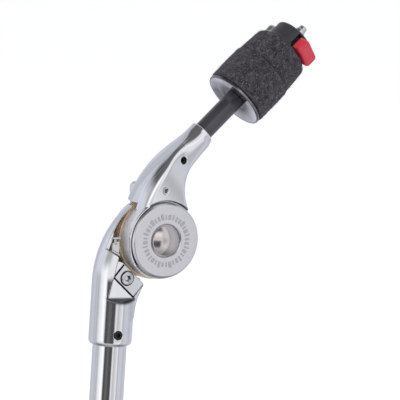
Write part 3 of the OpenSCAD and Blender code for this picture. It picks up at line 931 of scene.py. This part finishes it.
cap_profile = [(20.95, -8.78, 0.25), (21.0, -11.7, 0.6), (19.9, -12.95, 0.8), (15.9, -13.0, 0.3),
               (9.7, -13.0, 0.5), (9.05, -12.35, 0.2), (8.9, -11.45, 0.1), (6.6, -11.45, 0.1), (6.6, -8.78, 0.2)]
lathe_piece("pivot_cap_satin", cap_profile, "y", arm_to_row, satin_cap, "arm", "pivot_cap", 192, 4, None, pads(), mark_metal)


def thread(r0, lo, hi, pitch, depth, axis_segs=None):
    """shape function: a helical thread between two heights of the lathe's profile"""
    def f(r, h, t):
        u = (h / pitch - t / (2 * math.pi)) % 1.0
        tri = np.abs(u - 0.5) * 2
        fade = np.clip((h - lo) / 1.2, 0, 1) * np.clip((hi - h) / 0.8, 0, 1)
        cut = depth * np.clip(tri * 1.25 - 0.12, 0, 1) * fade
        return np.where(np.abs(r - r0) < 1e-3, r - cut, r), h
    return f


def fine(r, a, b, step):
    n = int(abs(b - a) / step)
    return [(r, a + (b - a) * i / n) for i in range(1, n)]


dome = [(13.5 * math.sin(math.radians(t)), -2.35 - 13.5 * math.cos(math.radians(t))) for t in np.linspace(0, 38.2, 22)]
dome[0] = (0, dome[0][1])
bolt_profile = dome + [(8.5, -12.6, 0.25), (8.5, -11.5, 0.1), (4.4, -11.5), (4.0, -6.9), (4.0, 11.0)] + fine(4.0, 11.0, 28.2, 0.16) + [(4.0, 28.2), (3.4, 28.95, 0.2), (0, 29)]
lathe_piece("pivot_bolt_turned", bolt_profile, "y", arm_to_row, dark_chrome, "arm", "pivot_bolt", 96, 4, thread(4.0, 12.0, 28.2, 1.25, 0.42))
sdf_piece("pivot_bolt_square", lambda x, y, z: rbox(x, y, z, (-4.5, -11.4, -4.5), (4.5, -6.75, 4.5), 0.5), (-5.5, -12.4, -5.5), (5.5, -5.8, 5.5), 0.5,
          arm_to_row, dark_chrome, "arm", None, 1)

lathe_piece("thrust_washer_turned", [(8.4, 13.1, 0.3), (8.4, 14.7, 0.3), (4.25, 14.7, 0.25), (4.25, 13.1, 0.25)], "y", base_row, chrome_small, "washer", "thrust_washer", 96)
lathe_piece("bush_moulded", [(8.0, 11.82, 0.2), (8.0, 13.0, 0.35), (4.08, 13.0, 0.3), (4.08, 6.62, 0.2), (6.0, 6.62, 0.3), (6.0, 11.82, 0.0)], "y", base_row, bush_plastic, "boom", "pivot_bush", 96)

WING = [(15.0, 2), (15.8, 6), (16.4, 12), (18, 20), (20.4, 26), (23.4, 28.6), (26.6, 28.8), (28.9, 27.2), (29.4, 24), (28.6, 17), (26.8, 10), (25.4, 5), (25.0, 2)]


def wing_field(x, y, z):
    r = np.sqrt(x ** 2 + z ** 2)
    hub = smax(r - np.interp(y, [14.8, 17, 26], [8.0, 8.0, 6.5]), np.maximum(14.86 - y, y - 25.9), 0.8)
    prof = poly2(y, np.abs(z), WING)
    thick = np.interp(np.abs(z), [6, 16, 27], [2.5, 2.0, 2.3])
    w = smax(prof, np.abs(x) - thick, 2.6)
    # finger dish on both faces
    dish = np.sqrt(((y - 23.6) * 1.25) ** 2 + (np.abs(z) - 20.5) ** 2 + (np.abs(x) - 7.6) ** 2 * 0.55) - 4.9
    w = smax(w, -dish, 1.2)
    d = smin(hub, w, 3.0)
    d = smax(d, 14.86 - y, 0.3)
    return smax(d, -(r - 4.1), 0.5)


sdf_piece("wing_nut_cast", wing_field, (-9.5, 13.5, -30.5), (9.5, 30.8, 30.5), 0.45, base_row, chrome_cast, "wing", "wing_nut")

# ------------------------------------------------------------------ keeper block, its screw, and the clip


def keeper_field(x, y, z):
    d = rbox(x, y, z, (-7.9, -9.3, 25.3), (8.7, -3.35, 34.7), 0.4)
    r = np.sqrt((x - 2.3) ** 2 + (z - 29.9) ** 2)
    d = smax(d, -np.maximum(r - 4.15, y + 7.75), 0.35)
    return smax(d, -(r - 2.07), 0.1)


sdf_piece("keeper_block_milled", keeper_field, (-9, -10.4, 24.2), (9.8, -2.3, 35.8), 0.3, key_row, chrome_small, "boom", "keeper_block", 3, lambda x, y, z: base_field(*(key_row(np.stack([x, y, z], 1)) - PIVOT).T))


def screw_field(x, y, z):
    u, v = x - 2.3, z - 29.9
    r = np.sqrt(u ** 2 + v ** 2)
    head = smax(r - 3.72, np.maximum(-10.35 - y + 0.075 * r ** 1.7 * 0.55, y + 7.72), 0.7)
    head = smax(head, -smax(hexd(u, v, 1.55), y + 8.4, 0.15), 0.3)
    return np.minimum(head, np.maximum(r - 2.0, np.maximum(-8.2 - y, y - 5)))


sdf_piece("keeper_screw_head", screw_field, (-2.4, -11.2, 25.2), (7.0, 5.8, 34.6), 0.25, key_row, chrome_small, "boom", "keeper_screw", 2, keeper_field)

CLIP = [(-29.3, -2.2), (-27.4, -1.2), (-25.3, -1.3), (-24.6, -4.6), (-24.9, -8.7), (-29.5, -6.4)]


def clip_field(x, y, z):
    plate = smax(poly2(x, z, CLIP), np.abs(y + 4.85) - 0.45, 0.5)
    t = np.clip(((x + 29.5) * 4.6 + (z + 6.4) * -2.3) / (4.6 ** 2 + 2.3 ** 2), 0, 1)
    lip = np.sqrt((x + 29.5 - 4.6 * t) ** 2 + (z + 6.4 + 2.3 * t) ** 2 + (y + 5.15) ** 2) - 0.62
    plate = smin(plate, lip, 0.4)
    strip = rbox(x, y, z, (-26.7, -4.9, -2.2), (-25.3, 6.0, -1.3), 0.25)
    c, s = math.cos(math.radians(8)), math.sin(math.radians(8))
    ly, lz = (y + 6.7) * c - (z - 0.8) * s, (y + 6.7) * s + (z - 0.8) * c
    rr = np.sqrt((x + 28.0) ** 2 + ly ** 2)
    ring = smax(np.abs(rr - 1.95) - 0.48, np.abs(lz) - 0.5, 0.35)
    post = np.maximum(np.sqrt((x + 27.7) ** 2 + (y + 4.85) ** 2) - 0.72, np.maximum(-2.9 - z, z - 0.9))
    return smin(smin(plate, strip, 0.3), smin(ring, post, 0.3), 0.3)


sdf_piece("keeper_clip_spring", clip_field, (-31.2, -10.2, -10), (-23.4, 7.0, 2.4), 0.2, base_row, spring_steel, "boom", "keeper_clip", 2)


def set_screw(name, r, y0, y1, hexr, centre, to_row, body, node):
    def f(x, y, z):
        rr = np.sqrt((x - centre[0]) ** 2 + (z - centre[1]) ** 2)
        d = smax(rr - r, np.maximum(y0 - y, y - y1), 0.5)
        return smax(d, -np.maximum(hexd(x - centre[0], z - centre[1], hexr), y - y0 - 1.7), 0.12)
    lo = (centre[0] - r - 0.8, y0 - 0.8, centre[1] - r - 0.8)
    hi = (centre[0] + r + 0.8, y1 + 0.8, centre[1] + r + 0.8)
    return sdf_piece(name, f, lo, hi, 0.18, to_row, black_steel, body, node, 1)


set_screw("base_grub_screw", 2.42, -11.9, -9.25, 1.2, (-OFF - 1.5, -52.8), base_row, "boom", "base_set_screw")
set_screw("arm_grub_screw", 1.92, -6.6, -3.05, 0.95, (-OFF, 38.5), arm_to_row, "arm", "arm_set_screw")


def pin_field(x, y, z):
    r = np.sqrt((x + 21) ** 2 + (z - 18.2) ** 2)
    d = smax(np.abs(r - 1.375) - 0.325, np.maximum(-11.9 - y, y + 5.3), 0.2)
    return np.maximum(d, -np.maximum(np.abs(x + 21) - 0.25, 18.2 - z))


sdf_piece("arm_roll_pin_rolled", pin_field, (-23.4, -12.6, 15.8), (-18.6, -4.6, 20.6), 0.16, arm_to_row, spring_steel, "arm", "arm_roll_pin", 1)

# ------------------------------------------------------------------ rod, sleeve, seat
rod_profile = [(0, 30.1), (3.0, 30.1, 0.2), (3.0, 113.0)] + fine(3.0, 113.0, 139.0, 0.13) + [(3.0, 139.0), (3.0, 143.9, 0.3), (2.45, 144.5, 0.25), (2.45, 146.2, 0.35), (1.9, 146.95, 0.25), (0, 147.0)]
lathe_piece("cymbal_rod_threaded", rod_profile, "z", rod_row, rod_steel, "arm", "cymbal_rod", 56, 4, thread(3.0, 114.0, 138.6, 1.0, 0.32))
lathe_piece("sleeve_moulded", [(5.55, 60.37, 0.4), (5.55, 122.3, 0.6), (3.05, 122.3, 0.3), (3.05, 60.37, 0.2)], "z", rod_row, sleeve_plastic, "arm", "cymbal_sleeve", 112)
lathe_piece("seat_washer_dished", [(5.62, 88.0, 0.12), (8.0, 88.05, 3.0), (12.5, 87.5, 6.0), (16.4, 86.5, 3.0), (17.7, 86.35, 0.5), (18.1, 86.7, 0.25), (18.15, 87.75, 0.3), (17.2, 88.74, 0.3), (5.62, 88.74, 0.12)],
            "z", rod_row, chrome_washer, "arm", "seat_washer", 160, 8)

seat = bpy.data.objects["seat_washer_dished"]
# painted shade on the seat washer: darker towards the rod under the felt, and a painted dark line round its outer edge
at = seat.data.attributes.new("recess", "FLOAT", "POINT")
pts = np.array([v.co[:] for v in seat.data.vertices]) / MM - PIVOT
up = np.array([math.sin(TILT), 0, math.cos(TILT)])
foot = rod_row(np.zeros((1, 3)))[0] - PIVOT
rad = pts - foot
rad = np.linalg.norm(rad - (rad @ up)[:, None] * up, axis=1)
at.data.foreach_set("value", np.maximum(np.clip((15.0 - rad) / 6.0, 0, 1) ** 1.2, np.clip((rad - 17.2) / 0.4, 0, 1) * 0.8).astype(np.float32))

# ------------------------------------------------------------------ felts
from mathutils import noise as mnoise


def felt(name, node, body, r, lo, hi, seed, bulge, top_round, low_round, count, r_top):
    h = hi - lo
    outline = [(5.9, lo, 0.5), (r, lo, low_round), (r_top, hi, top_round), (5.9, hi, 0.5)]
    prof = fillet(outline, 10)
    # even spacing along the outline
    P = np.array(prof + [prof[0]])
    d = np.concatenate([[0], np.cumsum(np.linalg.norm(np.diff(P, axis=0), axis=1))])
    step = 0.55
    m = int(d[-1] / step)
    s = np.linspace(0, d[-1], m, endpoint=False)
    prof = np.stack([np.interp(s, d, P[:, 0]), np.interp(s, d, P[:, 1])], 1)
    segs = int(2 * math.pi * r / step)
    v, f = lathe_mesh(prof, segs, "z")
    n = np.zeros_like(v)
    rr = np.sqrt(v[:, 0] ** 2 + v[:, 1] ** 2)
    mid = (prof[:, 1].min() + prof[:, 1].max()) / 2
    # outward direction from the section's core
    core = np.clip(rr, 9, r - 4)
    ch = np.clip(v[:, 2], lo + 4, hi - 4)
    dr, dh = rr - core, v[:, 2] - ch
    ln = np.maximum(np.sqrt(dr ** 2 + dh ** 2), 1e-6)
    n[:, 0], n[:, 1], n[:, 2] = v[:, 0] / rr * dr / ln, v[:, 1] / rr * dr / ln, dh / ln
    out = rr > 7.5
    amount = np.zeros(len(v))
    for k, p in enumerate(v):
        if not out[k]:
            continue
        q = Vector(p)
        a = mnoise.noise(q * 0.11 + Vector((seed, 0, 0))) * 0.22
        a += mnoise.noise(q * 0.42 + Vector((0, seed, 0))) * 0.14
        a += mnoise.noise(q * 1.3 + Vector((0, 0, seed))) * 0.13
        amount[k] = a
    side = np.clip((rr - r_top + 2.5) / 2.5, 0, 1)
    amount += bulge * side * np.sin(np.clip((v[:, 2] - lo) / h, 0, 1) * math.pi)
    # the flat ends stay inside their space
    amount = np.where(np.abs(n[:, 2]) > 0.85, np.minimum(amount, 0.0) - 0.05, amount)
    v = v + n * amount[:, None]
    o = mesh_object(name, rod_row(v) * MM, f, felt_cloth)
    tidy(o)
    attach(o, body)
    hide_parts(node)
    # loose fibres on the surface
    rng = np.random.default_rng(seed)
    fv, ff = [], []
    cnt = count
    for _ in range(cnt):
        t = rng.uniform(0, 2 * math.pi)
        a = rng.uniform(lo + 0.6, hi - 0.6)
        pos = np.array([r * math.cos(t), r * math.sin(t), a])
        nr = np.array([math.cos(t), math.sin(t), 0.0])
        tan = np.array([-math.sin(t), math.cos(t), 0.0])
        hd = rng.uniform(0, 2 * math.pi)
        length = rng.uniform(0.8, 2.6)
        curl = rng.uniform(-2.6, 2.6)
        rise = rng.uniform(0.02, 0.32) if rng.random() < 0.8 else rng.uniform(0.3, 0.8)
        pts = []
        x = y = 0.0
        for j in range(6):
            u = j / 5
            ang = hd + curl * u
            if j:
                x += math.cos(ang) * length / 5
                y += math.sin(ang) * length / 5
            tt = t + x / r
            aa = min(max(a + y, lo + 0.3), hi - 0.3)
            edge = min(aa - lo, hi - aa)
            rad = r + (r_top - r) * (aa - lo) / h + bulge * math.sin((aa - lo) / h * math.pi) - 0.06 + rise * math.sin(u * math.pi * 0.9) - (0.5 if edge < 0.8 else 0.0)
            pts.append(np.array([rad * math.cos(tt), rad * math.sin(tt), aa]))
        pts = np.array(pts)
        w = rng.uniform(0.022, 0.042)
        k0 = len(fv)
        for j in range(6):
            d_ = pts[min(j + 1, 5)] - pts[max(j - 1, 0)]
            d_ /= np.linalg.norm(d_) + 1e-9
            s1 = np.cross(d_, nr)
            s1 /= np.linalg.norm(s1) + 1e-9
            s2 = np.cross(d_, s1)
            ww = w * (1 - 0.55 * abs(j / 2.5 - 1))
            for q_ in range(3):
                an = q_ * 2 * math.pi / 3
                fv.append(pts[j] + (s1 * math.cos(an) + s2 * math.sin(an)) * ww)
        for j in range(5):
            for q_ in range(3):
                a_, b_ = k0 + j * 3 + q_, k0 + j * 3 + (q_ + 1) % 3
                ff.append((a_, b_, b_ + 3, a_ + 3))
        ff.append((k0 + 2, k0 + 1, k0))
        ff.append((k0 + 15, k0 + 16, k0 + 17))
    fo = mesh_object(name + "_fibres", rod_row(np.array(fv)) * MM, ff, fibre_mat)
    tidy(fo)
    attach(fo, body)
    return o


felt("lower_felt_pressed", "lower_felt", "arm", 18.45, 88.82, 111.03, 7, 0.12, 1.1, 0.7, 2600, 18.4)
felt("upper_felt_pressed", "upper_felt", "top_felt", 17.75, 111.07, 127.7, 11, 0.1, 2.3, 0.6, 2000, 16.7)

# ------------------------------------------------------------------ quick-release nut
NA, NH, BZ = 128.9, 10.8, 133.4
lathe_piece("nut_flange_moulded", [(14.2, 127.82, 0.3), (14.2, 128.78, 0.4), (6.2, 128.78, 0.2), (6.2, 127.82, 0.2)], "z", rod_row, black_plastic, "flange", "nut_flange", 128)


def nut_field(x, y, z):
    r = np.sqrt(x ** 2 + y ** 2)
    rim = smax(r - 12.85, np.maximum(NA + 0.02 - z, z - NA - 1.2), 0.7)
    drum = smax(r - 12.0 + np.clip(z - NA - NH + 1.3, 0, 2) * 0.5, np.maximum(NA + 0.3 - z, z - NA - NH), 1.3)
    d = smin(rim, drum, 0.8)
    d = smax(d, -(r - 5.05), 0.2)
    d = smax(d, -rbox(x, y, z, (-6.1, -20, BZ - 3.2), (6.1, 20, BZ + 3.2), 0.3), 0.3)
    d = smax(d, -rbox(x, y, z, (-8.5, -21, NA - 3), (8.5, -6.3, BZ + 4.85), 0.4), 0.3)
    d = smax(d, -rbox(x, y, z, (-8.3, 9.6, NA - 3), (8.3, 21, BZ + 4.4), 0.6), 0.4)
    return smax(d, -np.maximum(r - 8.0, NA + NH - 1.4 - z), 0.3)


sdf_piece("nut_shell_moulded", nut_field, (-14, -14, NA - 1.2), (14, 14, NA + NH + 1.2), 0.33, nut_row, black_plastic, "nut", "nut_shell")
lathe_piece("nut_top_ring_moulded", [(7.88, NA + NH - 1.33, 0.1), (7.88, NA + NH - 0.12, 0.35), (3.35, NA + NH - 0.12, 0.35), (3.35, NA + NH - 1.33, 0.1)], "z", nut_row, black_plastic, "nut", "nut_top_ring", 96)


def button_field(x, y, z):
    h = z - BZ
    out = -9.9 - y                       # height above the button's root
    d = rbox(x, out, h, (-8.0, 0.02, -4.25), (8.0, 6.9, 4.25), 2.3)
    d = smin(d, rbox(x, out, h, (-7.7, 0.02, -4.0), (7.7, 2.2, 4.0), 0.6), 0.5)
    # thumb face: a slight hollow, and the root cut flat
    d = smax(d, -(np.sqrt(x ** 2 * 0.35 + (out - 18.0) ** 2 + h ** 2 * 0.2) - 11.45), 0.8)
    d = smax(d, 0.02 - out, 0.15)
    return smax(d, -rbox(x, out, h, (-4.2, -2, -1.5), (4.2, 2.5, 1.5), 0.2), 0.2)


sdf_piece("release_button_moulded", button_field, (-9, -17.8, BZ - 5.4), (9, -8.9, BZ + 5.4), 0.28, nut_row, red_plastic, "button", "release_button")


def slide_field(x, y, z):
    h = z - BZ
    d = rbox(x, y, h, (-6.0, -9.8, -3.1), (6.0, 10.5, 3.1), 0.25)
    d = np.minimum(d, rbox(x, y, h, (-4.1, -12.2, -1.4), (4.1, -9, 1.4), 0.2))
    head = rbox(x, y, h, (-7.0, 9.9, -3.3), (7.0, 14.9, 3.3), 2.2)
    d = smin(d, head, 0.2)
    yy = np.clip(y, -3.6, 0)
    d = smax(d, -(np.sqrt(x ** 2 + (y - yy) ** 2) - 3.2), 0.25)
    return smax(d, -rbox(x, y, h, (3.6, -7.6, -1.3), (6.2, -1.4, 1.3), 0.15), 0.1)


sdf_piece("lock_slide_milled", slide_field, (-8.2, -13.2, BZ - 4.3), (8.2, 17, BZ + 4.3), 0.3, nut_row, slide_satin, "button", "lock_slide")

# the return spring: a closed-end coil, its far end held by the shell, its near end carried in by the slide
SP_R, SP_W, SP_TURNS = 0.95, 0.19, 6.0
SP_0, SP_1 = -7.5 + SP_W, -1.62 - SP_W
n_along, n_round = 193, 10
u = np.linspace(0, SP_TURNS, n_along)
lead = np.interp(u, [0, 0.9, SP_TURNS - 0.9, SP_TURNS], [0, 0.42, SP_1 - SP_0 - 0.42, SP_1 - SP_0])
line_c = np.stack([4.9 + SP_R * np.cos(2 * math.pi * u), SP_0 + lead, BZ + SP_R * np.sin(2 * math.pi * u)], 1)
tangent = np.gradient(line_c, axis=0)
tangent /= np.linalg.norm(tangent, axis=1)[:, None]
outward = np.stack([np.cos(2 * math.pi * u), np.zeros(n_along), np.sin(2 * math.pi * u)], 1)
across = np.cross(tangent, outward)
coil_v = [line_c[i] + SP_W * (math.cos(t) * outward[i] + math.sin(t) * across[i])
          for i in range(n_along) for t in np.linspace(0, 2 * math.pi, n_round, endpoint=False)]
coil_f = [(i * n_round + k, i * n_round + (k + 1) % n_round, (i + 1) * n_round + (k + 1) % n_round, (i + 1) * n_round + k)
          for i in range(n_along - 1) for k in range(n_round)]
coil_f += [tuple(range(n_round))[::-1], tuple(range((n_along - 1) * n_round, n_along * n_round))]
coil = mesh_object("button_spring_coiled", nut_row(np.array(coil_v)) * MM, coil_f, spring_steel)
me = coil.data
if sum((v.center - Vector(nut_row(line_c[(i // n_round):(i // n_round) + 1])[0] * MM)).dot(v.normal) for i, v in enumerate(list(me.polygons)[:200])) < 0:
    me.flip_normals()
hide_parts("button_spring")
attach(coil, "nut")
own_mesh(coil)

# ------------------------------------------------------------------ CAD nodes that stay
keep = {"brass_clutch_plates": brass, "steel_clutch_plates": spring_steel, "nut_thread_insert": brass}
for name, mat in keep.items():
    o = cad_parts[name]
    if not o.data.materials:
        o.data.materials.append(mat)
    for i in range(len(o.data.materials)):
        o.data.materials[i] = mat

# ------------------------------------------------------------------ lamps
centre = (0.05, 0.0, 0.26)


def lamp_at(name, az, el, dist, size, power, color=(1, 1, 1)):
    a, e = math.radians(az) + AZ, math.radians(el)
    pos = (centre[0] + dist * math.sin(a) * math.cos(e), centre[1] - dist * math.cos(a) * math.cos(e), centre[2] + dist * math.sin(e))
    return area_light(name, pos, centre, size, power, color)


lamp_at("top_soft", 10, 74, 1.6, (1.6, 1.2), 10)
lamp_at("side_left", -62, 22, 1.9, (0.9, 1.6), 8, (0.95, 0.97, 1.0))
